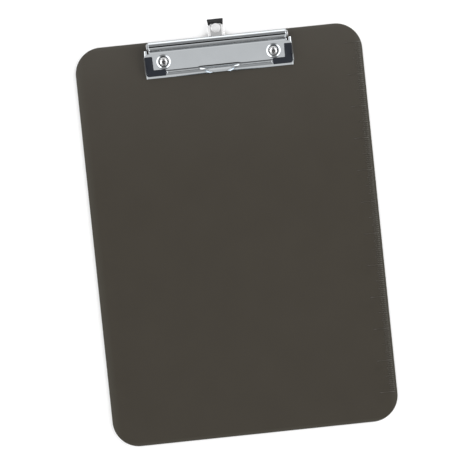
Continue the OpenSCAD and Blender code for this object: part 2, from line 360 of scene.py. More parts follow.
def smoke_plastic():
    """Dark smoke acrylic: glossy with a faint moulding texture, with a painted glow along its
    edges, a lighter colour standing in for the light that gets into the plastic there."""
    finish = Finish("smoke_plastic", IOR=1.46)
    x, y, _ = finish.node("SeparateXYZ", {0: finish.place}).outputs
    half_width, half_length = board_high.x, board_high.y
    side_gap = finish.math("SUBTRACT", half_width, finish.math("ABSOLUTE", x))
    end_gap = finish.math("SUBTRACT", half_length, finish.math("ABSOLUTE", y))
    gap = finish.math("MINIMUM", side_gap, finish.math("MULTIPLY", end_gap, 2.0))
    # Painted glow: the colour is lighter within a few millimetres of the board's edges, standing in for
    # light that gets into the plastic there.
    painted_edge_glow = finish.ramp(gap, 0.001, 0.0065, 1, 0)
    mottled = finish.ramp(finish.noise(35, 4), 0.3, 0.7)
    body = finish.mix(mottled, (0.0485, 0.0432, 0.0352), (0.0510, 0.0455, 0.0370))
    finish.drive("Base Color", finish.mix(painted_edge_glow, body, (0.060, 0.0555, 0.046)))
    finish.drive("Roughness", finish.ramp(finish.noise(700, 3), 0.3, 0.7, 0.075, 0.12))
    finish.bump(finish.noise(420, 2), 0.00004, 0.25)
    return finish.material


def plated(name, color, roughness, streaks):
    """Bright plating over sheet steel, with faint streaks along the rolling direction."""
    finish = Finish(name, Metallic=1.0)
    brushed = finish.noise(900, 4, (0.04, 1, 1))
    clouds = finish.noise(60, 3)
    tint = [c * 0.965 for c in color]
    finish.drive("Base Color", finish.mix(finish.ramp(clouds, 0.35, 0.65), color, tint))
    low, high = roughness - streaks, roughness + streaks
    finish.drive("Roughness", finish.ramp(brushed, 0.3, 0.7, low, high))
    finish.bump(finish.noise(2600, 3, (0.12, 1, 1)), 0.000004, 0.35)
    return finish.material


def rubber():
    """Matte blue-black moulded rubber with a fine grain."""
    finish = Finish("pad_rubber", IOR=1.38)
    grain = finish.noise(2400, 3)
    speckled = finish.ramp(grain, 0.3, 0.7)
    finish.drive("Base Color", finish.mix(speckled, (0.0065, 0.0092, 0.0150), (0.0090, 0.0122, 0.0195)))
    finish.drive("Roughness", finish.ramp(finish.noise(500), 0.3, 0.7, 0.5, 0.66))
    finish.bump(grain, 0.00003, 0.5)
    return finish.material


PLASTIC = smoke_plastic()
RUBBER = rubber()
JAW_NICKEL = plated("jaw_nickel", (0.775, 0.81, 0.84), 0.075, 0.02)
HOOK_NICKEL = plated("hook_nickel", (0.80, 0.80, 0.805), 0.08, 0.02)
RIVET_NICKEL = plated("rivet_nickel", (0.86, 0.86, 0.86), 0.07, 0.02)
BASE_STEEL = plated("base_steel", (0.50, 0.51, 0.52), 0.26, 0.06)
ROD_STEEL = plated("rod_steel", (0.58, 0.58, 0.59), 0.22, 0.05)
SPRING_STEEL = plated("spring_steel", (0.42, 0.43, 0.45), 0.28, 0.06)


# ---- board ----

CORNER_R = 21
BOARD_EDGE = 0.25   # the radius of the edges' rounding
SHANK_R, SHANK_GAP = 2.55, 0.05   # the rivets' holes, and the gap round the shanks in them
COUNTERBORE_R, COUNTERBORE_Z = 5.6, -1.6


def board():
    """The flat moulding, with two rivet bores that are wider from below."""
    solid = Solid()
    half, low, high = BOARD_HIGH[0], BOARD_LOW[1], BOARD_HIGH[1]
    outline = rounded([(-half, low, CORNER_R), (half, low, CORNER_R), (half, high, CORNER_R),
                       (-half, high, CORNER_R)], step=0.5)
    bottom = BOARD_LOW[2]

    def level(z):
        return lambda flat: np.column_stack([flat, np.full(len(flat), z)])

    turns = np.radians(np.arange(0, 91, 15))
    edge = [(BOARD_EDGE * (1 - math.sin(a)), BOARD_EDGE * (1 - math.cos(a))) for a in turns]
    edge = [(2 * BOARD_EDGE, 0), *edge]
    flats = [moved_left(outline, inset) for inset, _ in edge]
    rings = [solid.ring(level(-drop)(flat)) for flat, (_, drop) in zip(flats, edge)]
    rings += [solid.ring(level(bottom + drop)(flat))
              for flat, (_, drop) in zip(flats[::-1], edge[::-1])]
    solid.strips(rings[::-1])
    bores, wide_bores, bore_rings, wide_rings = [], [], [], []
    for side, _ in SIDES:
        centre = (side * RIVET[0], RIVET[1])
        bore = circle(centre, SHANK_R, clockwise=True)
        wide = circle(centre, COUNTERBORE_R, clockwise=True)
        steps = [(bore, 0), (bore, COUNTERBORE_Z), (wide, COUNTERBORE_Z), (wide, bottom)]
        made = [solid.ring(level(z)(flat)) for flat, z in steps]
        solid.strips(made[::-1])
        bores.append(bore)
        wide_bores.append(wide)
        bore_rings.append(made[0])
        wide_rings.append(made[-1])
    solid.cap([flats[0], *bores], [rings[0], *bore_rings], [], None)
    solid.cap([flats[0], *wide_bores], [rings[-1], *wide_rings], [], None, flip=True)
    return solid.build("board_moulding", PLASTIC, "board_assembly", ["board"])


# ---- moulded scales: inches down the right edge, centimetres down the left ----

SCALE_TOP = -16.2   # where both scales start
INCH = 25.4
INCHES, CENTIMETRES = 11, 28
SCALE_EDGE = 1.6   # the gap between the ticks and the board's edge
SINK = 0.05   # how far raised marks reach into the board
CAP_HEIGHT = 1 / 1.38   # the numerals' height for a font size of 1


def ridge(solid, x0, x1, y, width, height):
    """One raised tick: a low bar with sloping sides."""
    x0, x1 = min(x0, x1), max(x0, x1)
    rows = []
    for inset, z in ((0, -SINK), (0, height * 0.4), (width * 0.25, height)):
        x = [x0 + inset, x1 - inset, x1 - inset, x0 + inset]
        dy = width / 2 - inset
        rows.append(solid.ring(np.column_stack([x, [y - dy, y - dy, y + dy, y + dy], [z] * 4])))
    solid.strips(rows)
    solid.ends(rows)


def ticks(name, side, pitch, count, length_of, width, height):
    """One scale's ticks, down one edge of the board."""
    solid = Solid()
    outer = BOARD_HIGH[0] - SCALE_EDGE
    for i in range(count + 1):
        inner = outer - length_of(i)
        ridge(solid, side * outer, side * inner, SCALE_TOP - i * pitch, width, height)
    return solid.build(name, PLASTIC, "board_assembly")


def inch_tick(i):
    return 12.0 if i % 16 == 0 else 6.5 if i % 8 == 0 else 5.0 if i % 4 == 0 else 3.8


def millimetre_tick(i):
    return 8.0 if i % 10 == 0 else 5.0 if i % 5 == 0 else 3.2


def digits(name, numbers, x, y_of, height, relief):
    """Raised numerals, upright with the clip at the top."""
    parts = []
    for number in numbers:
        curve = bpy.data.curves.new(name, "FONT")
        curve.body = str(number)
        curve.size = height / CAP_HEIGHT
        curve.align_x, curve.align_y = "CENTER", "CENTER"
        curve.extrude = (relief + SINK) / 2
        text = bpy.data.objects.new(name, curve)
        mesh = bpy.data.meshes.new_from_object(text)
        shift = np.array([x, y_of(number), (relief - SINK) / 2]) + FACE_ORIGIN
        mesh.transform(Matrix.Translation(Vector(shift * MM)) @ Matrix.Scale(MM, 4))
        parts.append(new_object(name, mesh))
        bpy.data.objects.remove(text)
    with bpy.context.temp_override(active_object=parts[0], selected_editable_objects=parts):
        bpy.ops.object.join()
    piece = parts[0]
    piece.name = name
    piece.data.materials.clear()
    piece.data.materials.append(PLASTIC)
    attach(piece, "board_assembly")
    return piece


def scales():
    ticks("inch_scale", 1, INCH / 16, 16 * INCHES, inch_tick, width=0.7, height=0.3)
    ticks("centimetre_scale", -1, 1.0, 10 * CENTIMETRES, millimetre_tick, width=0.3, height=0.035)
    digits("inch_numbers", range(1, INCHES + 1), 100.5,
           lambda n: SCALE_TOP - n * INCH - 6, height=4.6, relief=0.08)
    digits("centimetre_numbers", range(1, CENTIMETRES + 1), -100,
           lambda n: SCALE_TOP - n * 10 + 1, height=3.4, relief=0.06)


# ---- jaw: one sheet, pressed from a flat blank ----

SHEET = 0.7
SHEET_EDGE = 0.1
FRONT_T, THINNED = 0.25, 0.8   # the front edge's thickness, and how far back the sheet is thinner

# The sheet's line from the side: roll, bend, plate, then corners (y, z, radius) down to the front
ROLL_R = JAW_HIGH[2] - HINGE[1]
ROLL_HALF = 54.5
ROLL_END_ANGLE = math.radians(-45)
BEND_R = 1.0
SLOPE = math.radians(18.5)
PLATE_REAR = np.array([-8.4, 7.1])
VALLEY_Y, VALLEY_R = -24.0, 1.8
BEAD = (-25.4, 2.6, 0.9)
GROOVE = (-27.25, 1.42, 0.6)
FOOT = (-29.05, 0.75, 0.35)
FRONT_Y = -29.15
CLEARANCE = JAW_LOW[2]

# Side flanges: where they bend down, the bend's radius, and how far they spread outwards
FLANGE_X, FLANGE_R, FLANGE_SPREAD = 57.95, 0.3, 1.2
LOWEST_FLANGE = 2.2   # flanges lower than this lean no further
EAR_REAR = -7.5   # where the ears beside the roll are cut off upright
EAR_ROUND, EAR_BLEND = 0.8, 2.5   # the ear's extra bend radius, and the length it takes to grow
NOTCH = (ROLL_HALF, 56.0, -10.3)   # between roll and ear: inner x, outer x and front y

# Access holes over the rivets, with a collar pressed down round each
ACCESS_R, COLLAR_R, COLLAR_DEPTH = 4.3, 5.6, 0.6
COLLAR_LINES = (4.6, 4.95, 5.3, 5.6, 5.9)   # radii of the circles of extra mesh points

# Finger lift: half widths at the valley and at the front, its ends' length, and its height
LIFT_HALF, LIFT_FRONT_HALF, LIFT_END = 18.5, 8, 5
LIFT_UP, LIFT_BACK = 1.8, 0.15
LIFT_SHARES = [0.95, 1, 0.7, 0.1, 0]   # at the edge, groove, bead, valley and 1 mm behind it

# Notches in the roll's free edge for the spring's legs, and how far below the rod they end
LEG_X, LEG_HALF = 13, 1.2
RIGHT_LEG_DROP, LEFT_LEG_DROP = 1.6, 0.6


def plate_z(y):
    """The height of the sloping plate's face at y."""
    return PLATE_REAR[1] + math.tan(SLOPE) * (y - PLATE_REAR[0])


def jaw_profile():
    """The sheet's outer line in the YZ plane, from its front edge up over the roll, and the
    number of its point at the plate's rear end."""
    square = np.array([-math.sin(SLOPE), math.cos(SLOPE)])
    lift = (HINGE - PLATE_REAR) @ square
    meet = SLOPE + math.pi - math.asin((BEND_R - lift) / (ROLL_R + BEND_R))
    bend = HINGE + (ROLL_R + BEND_R) * np.array([math.cos(meet), math.sin(meet)])
    plate_end = bend - BEND_R * square
    valley = (VALLEY_Y, plate_z(VALLEY_Y), VALLEY_R)
    foot = rounded([(FRONT_Y, CLEARANCE, 0), FOOT, GROOVE, BEAD, valley, (*plate_end, 0)],
                   closed=False, step=0.02)
    path = np.concatenate([foot, arc(bend, BEND_R, 1.5 * math.pi + SLOPE, meet + math.pi)[1:],
                           arc(HINGE, ROLL_R, meet, ROLL_END_ANGLE)[1:]])
    return path, len(foot) - 1


def jaw_lines(valley_v, plate_end_v, roll_v, end_v, flange_end):
    """The jaw's grid lines on its blank, closest together where the sheet bends."""
    half_u = np.concatenate([
        [0], np.arange(1, LIFT_HALF + 1, 0.25), np.arange(LIFT_HALF + 1.2, 56.2, 1.0),
        np.arange(56.3, FLANGE_X, 0.3), np.arange(FLANGE_X, FLANGE_X + 1.6, 0.14),
        np.arange(FLANGE_X + 2, flange_end, 0.7)])
    lines_v = np.concatenate([
        np.arange(0.14, valley_v + 1, 0.14), np.arange(valley_v + 1.6, plate_end_v - 0.2, 1.3),
        np.linspace(plate_end_v, roll_v, 9), np.arange(roll_v + 0.25, end_v, 0.3)])
    return np.concatenate([-half_u[:0:-1], half_u]), lines_v


def jaw():
    """The clip's sheet. On its blank u runs across and v from the front edge up over the roll."""
    path, plate_last = jaw_profile()
    length = distances(path)
    plate_end, plate_end_v, end_v = path[plate_last], length[plate_last], length[-1]
    on_roll = np.abs(np.linalg.norm(path - HINGE, axis=1) - ROLL_R) < 1e-3
    roll_v = length[int(np.argmax(on_roll))]

    def v_at(y):
        """Where on the blank the point y of the plate or the front is."""
        return np.interp(y, path[:plate_last + 1, 0], length[:plate_last + 1])

    def profile(v, ear):
        """The sheet's outer line at v. The ears beside the roll run straight on instead."""
        y, z = np.interp(v, length, path[:, 0]), np.interp(v, length, path[:, 1])
        past = np.maximum(v - plate_end_v, 0)
        on_ear = ear & (past > 0)
        y = np.where(on_ear, plate_end[0] + past * math.cos(SLOPE), y)
        z = np.where(on_ear, plate_end[1] + past * math.sin(SLOPE), z)
        return y, z

    def lean(z):
        """The side flange's lean: it spreads as far out where the jaw is low as where it is high."""
        return np.arctan(FLANGE_SPREAD / np.maximum(z, LOWEST_FLANGE))

    def flange_bend(y):
        """The radius of the flange's bend, widest on the ear, and where on the blank it starts."""
        radius = FLANGE_R + EAR_ROUND * smooth_step((y - PAD_HIGH[1]) / EAR_BLEND)
        return radius, FLANGE_X + FLANGE_R - radius

    def sideways(u, y, z):
        """How far out, and how far down from the plate, the sheet is at u from its middle."""
        radius, start = flange_bend(y)
        most = math.pi / 2 - lean(z)
        turn = np.clip((u - start) / radius, 0, most)
        rest = np.maximum(u - start - radius * most, 0)
        out = np.minimum(u, start) + radius * np.sin(turn) + rest * np.sin(lean(z))
        return out, radius * (1 - np.cos(turn)) + rest * np.cos(lean(z))

    def flange_u(y, z):
        """Where the flange's edge is on the blank beside a point of the plate: down at its foot,
        or cut off upright at its rear."""
        drop = np.minimum((z - CLEARANCE) / math.cos(SLOPE), (EAR_REAR - y) / math.sin(SLOPE))
        radius, start = flange_bend(y)
        bent = radius * (1 - np.sin(lean(z)))
        turn = np.arccos(1 - np.minimum(drop, bent) / radius)
        return start + radius * turn + np.maximum(drop - bent, 0) / np.cos(lean(z))

    valley_v, bead_v, groove_v = v_at(VALLEY_Y), v_at(BEAD[0]), v_at(GROOVE[0])
    hole_v = v_at(RIVET[1])

    def surface(u, v):
        y, z = profile(v, np.abs(u) > (NOTCH[0] + NOTCH[1]) / 2)
        out, drop = sideways(np.abs(u), y, z)
        rise = np.interp(v, [0, groove_v, bead_v, valley_v, valley_v + 1], LIFT_SHARES)
        half = np.interp(v, [0, valley_v], [LIFT_FRONT_HALF, LIFT_HALF])
        lift = smooth_step((half - np.abs(u)) / LIFT_END) * rise
        from_hole = np.hypot(np.abs(u) - RIVET[0], (v - hole_v) * math.cos(SLOPE))
        drop = drop + COLLAR_DEPTH * np.clip((COLLAR_R - from_hole) / (COLLAR_R - ACCESS_R), 0, 1)
        y = y + drop * math.sin(SLOPE) + LIFT_BACK * lift
        return np.stack([np.sign(u) * out, y, z - drop * math.cos(SLOPE) + LIFT_UP * lift], 1)

    ear_v = plate_end_v + (EAR_REAR - plate_end[0]) / math.cos(SLOPE)
    side_v = np.concatenate([np.linspace(0, 1, 14)[1:] ** 2 * 0.8, np.arange(1.0, 8, 0.2),
                             np.arange(8.2, ear_v - 2.6, 0.4), np.linspace(ear_v - 2.4, ear_v, 14)])
    side_u = flange_u(*profile(side_v, np.full(len(side_v), True)))
    notch_v = v_at(NOTCH[2])

    def leg_v(z):
        """Where the roll comes down to the height z at the rear."""
        turn = math.asin((z - HINGE[1]) / ROLL_R)
        return end_v - ROLL_R * (turn - ROLL_END_ANGLE)

    def half_outline(leg_notch):
        """The blank's right half: (u, v, corner radius), from the front to the free edge."""
        return [(FLANGE_X - 0.4, 0, 0),
                *[(u, v, 0) for u, v in zip(side_u, side_v)], (NOTCH[1], ear_v, 0.3),
                (NOTCH[1], notch_v, 0.5), (NOTCH[0], notch_v, 0.5), (NOTCH[0], end_v, 0.3),
                (LEG_X + LEG_HALF, end_v, 0.3), (LEG_X + LEG_HALF, leg_notch, 0.4),
                (LEG_X - LEG_HALF, leg_notch, 0.4), (LEG_X - LEG_HALF, end_v, 0.3)]

    right = half_outline(leg_v(HINGE[1] - RIGHT_LEG_DROP))
    left = mirrored(half_outline(leg_v(HINGE[1] - LEFT_LEG_DROP)))

    def on_blank(loop):
        """A loop of points seen from above, carried onto the blank."""
        return np.stack([loop[:, 0], v_at(loop[:, 1])], 1)

    loops, collars = [rounded([*right, *left])], []
    for side, _ in SIDES:
        hole = (side * RIVET[0], RIVET[1])
        loops.append(on_blank(circle(hole, ACCESS_R, clockwise=True)))
        loops.append(on_blank(pad_outline(side, PAD_GAP)[::-1]))
        collars += [on_blank(circle(hole, radius)) for radius in COLLAR_LINES]

    def thickness(u, v):
        return np.interp(v, [0, THINNED], [FRONT_T, SHEET])

    solid = Solid()
    lines = jaw_lines(valley_v, plate_end_v, roll_v, end_v, side_u.max())
    slab(solid, loops, lines, surface, thickness, SHEET_EDGE, extra=collars)
    solid.build("jaw_pressing", JAW_NICKEL, "jaw", ["jaw_plate"])


ROD_R, ROD_HEAD_R, ROD_HEAD_T = 1.5, 2.2, 0.7
CHEEK_T, CHEEK_EDGE = 0.8, 0.35
RUNNING_GAP = 0.05   # between the cheeks' bore and the rod


def roll_ends():
    """The cheeks that close the roll and turn on the rod."""
    bore = ROD_R + RUNNING_GAP
    outer = ROLL_R - 0.02
    near, far = ROLL_HALF - CHEEK_T, ROLL_HALF + 0.02
    corners = [(bore, near, 0.1), (outer, near, 0.1), (outer, far, CHEEK_EDGE), (bore, far, 0.15)]
    for side, name in SIDES:
        solid = Solid()
        profile = rounded([(r, side * h, e) for r, h, e in corners])
        lathe(solid, profile if side > 0 else profile[::-1], (0, *HINGE), 72, along="x")
        solid.build(f"roll_end_{name}", JAW_NICKEL, "jaw")


# ---- rubber pads ----

PAD_INNER, PAD_CROSS = 52.2, -22.8
PAD_EDGE = 0.22
PAD_GAP = 0.02     # between a pad and its slot in the jaw
PAD_PROUD = 0.15   # how far the pads stand above the plate
PAD_TOE_Z = 3.05   # the height of their level front


def pad_outline(side, grow=0.0):
    """The pad's L shape from above, anticlockwise, with its edges moved out by grow."""
    outer, end = PAD_HIGH[0] + grow, PAD_LOW[0] - grow
    top, front = PAD_HIGH[1] + grow, PAD_LOW[1] - grow
    inner, cross = PAD_INNER - grow, PAD_CROSS + grow
    corners = [(end, front, 0.5), (outer, front, 2), (outer, top, 0.5), (inner, top, 0.5),
               (inner, cross, 0.6), (end, cross, 0.5)]
    loop = rounded([(side * x, y, r) for x, y, r in corners])
    return loop if side > 0 else loop[::-1]


def pads():
    """L-shaped blocks whose tops follow the plate down to a level toe."""

    def top_z(y):
        return np.maximum(plate_z(y) + PAD_PROUD, PAD_TOE_Z)

    def surface(u, v):
        return np.stack([u, v, top_z(v)], 1)

    def thickness(u, v):
        return top_z(v) - PAD_LOW[2]

    for side, name in SIDES:
        solid = Solid()
        lines = (side * np.arange(43, 58, 0.9), np.arange(PAD_LOW[1], PAD_HIGH[1], 0.7))
        slab(solid, [pad_outline(side)], lines, surface, thickness, PAD_EDGE, up=(0, 0, 1))
        solid.build(f"rubber_pad_{name}", RUBBER, "jaw", [f"grip_pad_{name}"])


# ---- rivets, washers and rod ----

BASE_T = 0.8
HEAD_R, RIVET_BORE = RIVET_HIGH[0] - RIVET[0], 1.4
WASHER_R = 5.2


def rivets():
    """Tubular rivets, whose hollow ends are spread over a washer each under the board."""
    top, bottom = RIVET_HIGH[2], RIVET_LOW[2]
    under = WASHER_LOW[2]
    for side, name in SIDES:
        centre = (side * RIVET[0], RIVET[1], 0)
        # (radius, z, rounding): the hollow's rim, the head, the shank and the spread end
        corners = [(RIVET_BORE, top - 0.7, 0.15), (RIVET_BORE + 0.35, top - 0.3, 0.2),
                   (RIVET_BORE + 0.8, top - 0.5, 0.25), (HEAD_R - 0.9, top, 0.3),
                   (HEAD_R, BASE_T + 0.35, 0.3), (HEAD_R - 0.05, BASE_T, 0.05),
                   (SHANK_R - SHANK_GAP, BASE_T, 0), (SHANK_R - SHANK_GAP, under, 0),
                   (3.6, under, 0.15), (3.2, bottom, 0.3), (2.0, bottom, 0.3),
                   (RIVET_BORE, under + 0.1, 0.3)]
        solid = Solid()
        lathe(solid, rounded(corners)[::-1], centre)
        solid.build(f"tubular_rivet_{name}", RIVET_NICKEL, "board_assembly",
                    [f"rivet_{name}"])
        low, high = WASHER_LOW[2], WASHER_HIGH[2]
        corners = [(SHANK_R, low, 0.08), (WASHER_R, low, 0.15), (WASHER_R, high, 0.15),
                   (SHANK_R, high, 0.08)]
        solid = Solid()
        lathe(solid, rounded(corners), centre)
        solid.build(f"washer_{name}", BASE_STEEL, "board_assembly",
                    [f"rivet_washer_{name}"])


def rod():
    """The hinge rod, with both ends riveted over outside the lugs."""
    end = ROD_HIGH[0]
    neck = end - ROD_HEAD_T
    half = [(0.3, end, 0), (1.2, end - 0.03, 0.8), (ROD_HEAD_R, end - 0.3, 0.3),
            (ROD_HEAD_R, neck, 0.1), (ROD_R, neck, 0.05)]
    path = rounded(half, closed=False)
    other = path[::-1] * [1, -1]
    solid = Solid()
    lathe(solid, np.concatenate([path, other])[::-1], (0, *HINGE), 48, along="x", capped=True)
    solid.build("hinge_pin", ROD_STEEL, "board_assembly", ["hinge_rod"])


# ---- torsion spring ----

WIRE_R, COIL_R, COIL_HALF, TURNS = 0.7, 2.35, 13, 16
COIL_STEPS, WIRE_SIDES = 28, 12   # points along each turn, and round the wire
BASE_LEG = [(-16.2, 1.5), (-11.9, 1.5)]   # (y, z) of the long leg's tip and of its bend
JAW_LEG = 3.4   # the short leg's length


def spring():
    """One wire: a leg under the base plate's bridge, the coil, and a leg under the roll."""
    run = np.array(BASE_LEG[1]) - HINGE
    first_turn = math.atan2(run[1], run[0]) + math.acos(COIL_R / np.linalg.norm(run))
    sweep = 2 * math.pi * (TURNS - 1) + 1.5 * math.pi - first_turn
    t = np.linspace(0, 1, COIL_STEPS * TURNS + 1)
    turn = first_turn + sweep * t
    coil = np.stack([COIL_HALF * (2 * t - 1), HINGE[0] + COIL_R * np.cos(turn),
                     HINGE[1] + COIL_R * np.sin(turn)], 1)
    line = rounded([(*BASE_LEG[0], 0), (*BASE_LEG[1], 1.2), (*coil[0, 1:], 0)],
                   closed=False, step=0.3)
    base_leg = np.column_stack([np.full(len(line), -COIL_HALF), line])
    jaw_leg = [(COIL_HALF, HINGE[0] + JAW_LEG * s, HINGE[1] - COIL_R) for s in (0.5, 1)]
    path = np.concatenate([base_leg[:-1], coil, jaw_leg])
    ahead = unit(np.gradient(path, axis=0))
    side = unit(np.cross(ahead, [1, 0, 0]))
    third = np.cross(ahead, side)
    around = np.arange(WIRE_SIDES) * 2 * math.pi / WIRE_SIDES
    solid = Solid()
    rings = [solid.ring(p + WIRE_R * (np.outer(np.cos(around), a) + np.outer(np.sin(around), b)))
             for p, a, b in zip(path, side, third)]
    solid.strips(rings)
    solid.ends(rings)
    piece = solid.build("spring_coil", SPRING_STEEL, None, ["torsion_spring"])
    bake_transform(piece)


# ---- base plate ----

BASE_FRONT, BASE_REAR, BASE_HALF = -22.2, -1.2, 51.6
LUG_X, LUG_R = 54.8, 2.9
LUG_Y = (-7.6, -1.8)
BASE_BEND_R = 1.2
# The hook's channel: half widths behind and in front of step_y, its closed front and its height
CHANNEL = dict(neck=6.8, wide=9.3, step_y=-4.3, front=-19.6, height=1.3)
CHANNEL_SIDE = 0.8   # how wide the slope of its sides is
BRIDGE_Y = (-15.2, -12.4)
BRIDGE_HALF, BRIDGE_ROOF = 1.2, 2.25   # half its inner width, and how high its underside is


def base_plate():
    """The riveted sheet: a raised channel for the hook and two lugs bent up for the rod."""
    bend_x = LUG_X + BASE_T - BASE_BEND_R
    bend_u = bend_x + BASE_BEND_R * math.pi / 2
    inner_r = BASE_BEND_R - BASE_T

    def surface(u, v):
        side = np.abs(u)
        turn = np.clip((side - bend_x) / BASE_BEND_R, 0, math.pi / 2)
        out = np.minimum(side, bend_x) + inner_r * np.sin(turn)
        up = inner_r * (1 - np.cos(turn)) + np.maximum(side - bend_u, 0)
        neck = 1 - smooth_step((side - CHANNEL["neck"]) / CHANNEL_SIDE)
        wide = 1 - smooth_step((side - CHANNEL["wide"]) / CHANNEL_SIDE)
        at_wide = 1 - smooth_step((v - CHANNEL["step_y"]) / CHANNEL_SIDE)
        from_front = smooth_step((v - CHANNEL["front"] + CHANNEL_SIDE) / CHANNEL_SIDE)
        raised = CHANNEL["height"] * np.maximum(neck, wide * at_wide) * from_front
        return np.stack([np.sign(u) * out, v, BASE_T + up + raised], 1)

    axis_u = bend_u + HINGE[1] - BASE_T - inner_r
    lug = np.radians(np.arange(-90, 91, 10))
    right = [(BASE_HALF, BASE_FRONT, 3), (BASE_HALF, LUG_Y[0], 0.8), (bend_x, LUG_Y[0], 0)]
    right += [(axis_u + LUG_R * math.cos(a), HINGE[0] + LUG_R * math.sin(a), 0) for a in lug]
    right += [(bend_x, LUG_Y[1], 0), (BASE_HALF + 1, LUG_Y[1], 0), (BASE_HALF, BASE_REAR, 0.5)]
    left = mirrored(right)
    loops = [rounded([*right, *left])]
    for side, _ in SIDES:
        loops.append(circle((side * RIVET[0], RIVET[1]), SHANK_R, clockwise=True))
        loops.append(circle((side * axis_u, HINGE[0]), ROD_R + 0.02, 48, clockwise=True))
    x0, x1 = -LEG_X - BRIDGE_HALF, -LEG_X + BRIDGE_HALF
    loops.append(rounded([(x0, BRIDGE_Y[1], 0.3), (x1, BRIDGE_Y[1], 0.3), (x1, BRIDGE_Y[0], 0.3),
                          (x0, BRIDGE_Y[0], 0.3)]))
    fine = np.concatenate([np.arange(5.8, 10.8, 0.25), np.arange(12, 51, 3.0),
                           np.linspace(bend_x, bend_u, 10), np.arange(bend_u + 1, axis_u + 2, 1.0)])
    lines_u = np.concatenate([-fine[::-1], np.arange(-5, 6, 1.0), fine])
    lines_v = np.concatenate([np.arange(-22, -20.8, 0.6), np.arange(-20.6, -19, 0.2),
                              np.arange(-18.5, -5, 1.0), np.arange(-4.6, -3, 0.2), [-2.5, -2, -1.6]])
    solid = Solid()
    slab(solid, loops, (lines_u, lines_v), surface, BASE_T, 0.12)
    bridge(solid)
    solid.build("base_pressing", BASE_STEEL, "board_assembly", ["base_plate"])


def bridge(solid):
    """The lanced strip that holds the spring's long leg down."""
    roof, half = BRIDGE_ROOF + BASE_T, BRIDGE_HALF + BASE_T
    line = rounded([(-half, BASE_T - 0.1, 0), (-half, roof, 0.9), (half, roof, 0.9),
                    (half, BASE_T - 0.1, 0)], closed=False)
    length = distances(line)

    def surface(u, v):
        return np.stack([np.interp(u, length, line[:, 0]) - LEG_X, v,
                         np.interp(u, length, line[:, 1])], 1)

    low, high = 0.02, length[-1] - 0.02
    loop = rounded([(low, BRIDGE_Y[0], 0), (high, BRIDGE_Y[0], 0), (high, BRIDGE_Y[1], 0),
                    (low, BRIDGE_Y[1], 0)])
    lines = (np.arange(0.3, high, 0.15), np.arange(BRIDGE_Y[0] + 0.5, BRIDGE_Y[1], 0.6))
    slab(solid, [loop], lines, surface, BASE_T - 0.02, 0.1)


# ---- hanging hook ----

HOOK_T, HOOK_LIFT = 0.6, 0.1
HOOK_ARCH, HOOK_FLAT = 0.4, 4.2   # how far its sides fall, and half of its level middle
HOOK_HALF, HOOK_TAIL_HALF = 6.5, HOOK_HIGH[0]
HOOK_HOLE_Y, HOOK_HOLE_R = 6, 3.6
LIP_START, LIP_R, LIP_SLOPE = 9.7, 1.3, math.radians(16)
LIP_BLEND = 1.5   # the length over which the arch flattens out before the lip
TAIL_FRONT = -4.6


def hook():
    """An arched strip. Its outer end turns up in a lip, and its tail is wider than the
    channel's neck, which stops it."""
    top = HOOK_LIFT + HOOK_ARCH + HOOK_T
    reach, slope = HOOK_HIGH[1], LIP_SLOPE
    rise = top + (reach - LIP_START) * math.tan(slope)
    tangent = LIP_R * math.tan(slope / 2)
    path = np.concatenate([
        np.linspace([HOOK_LOW[1], top], [LIP_START - tangent, top], 400)[:-1],
        arc((LIP_START - tangent, top + LIP_R), LIP_R, -math.pi / 2, -math.pi / 2 + slope),
        np.linspace([LIP_START + tangent * math.cos(slope), top + tangent * math.sin(slope)],
                    [reach, rise], 60)[1:]])
    length = HOOK_LOW[1] + distances(path)

    def surface(u, v):
        y, z = np.interp(v, length, path[:, 0]), np.interp(v, length, path[:, 1])
        fall = np.clip((np.abs(u) - HOOK_FLAT) / (HOOK_HALF - HOOK_FLAT), 0, 1)
        arched = 1 - smooth_step((v - LIP_START + LIP_BLEND) / LIP_BLEND)
        return np.stack([u, y, z - HOOK_ARCH * fall * arched], 1)

    end = length[-1]
    right = [(HOOK_TAIL_HALF, HOOK_LOW[1], 0.5), (HOOK_TAIL_HALF, TAIL_FRONT, 0.6),
             (HOOK_HALF, TAIL_FRONT, 0.3), (HOOK_HALF, end, 0.5)]
    left = mirrored(right)
    loops = [rounded([*right, *left]), circle((0, HOOK_HOLE_Y), HOOK_HOLE_R, clockwise=True)]
    lines = (np.arange(-8.7, 8.8, 0.3), np.arange(HOOK_LOW[1] + 0.4, end, 0.3))
    solid = Solid()
    slab(solid, loops, lines, surface, HOOK_T, 0.12)
    solid.build("hook_strip", HOOK_NICKEL, "hook", ["hanging_hook"])


board()
scales()
jaw()
roll_ends()
pads()
rivets()
rod()
spring()
base_plate()
hook()


# ---- floor, studio and camera ----

FLOOR_HALF, FLOOR_GAP = 3.0, 0.0002
FLOOR_GLOW = 0.45
# The glow is shut out where ambient occlusion finds parts close by: a painted shade on the floor under
# the hook and close to the board's edges.
SHADE_REACH, SHADE_LOW, SHADE_HIGH = 0.01, 0.28, 0.65   # where the glow is shut out


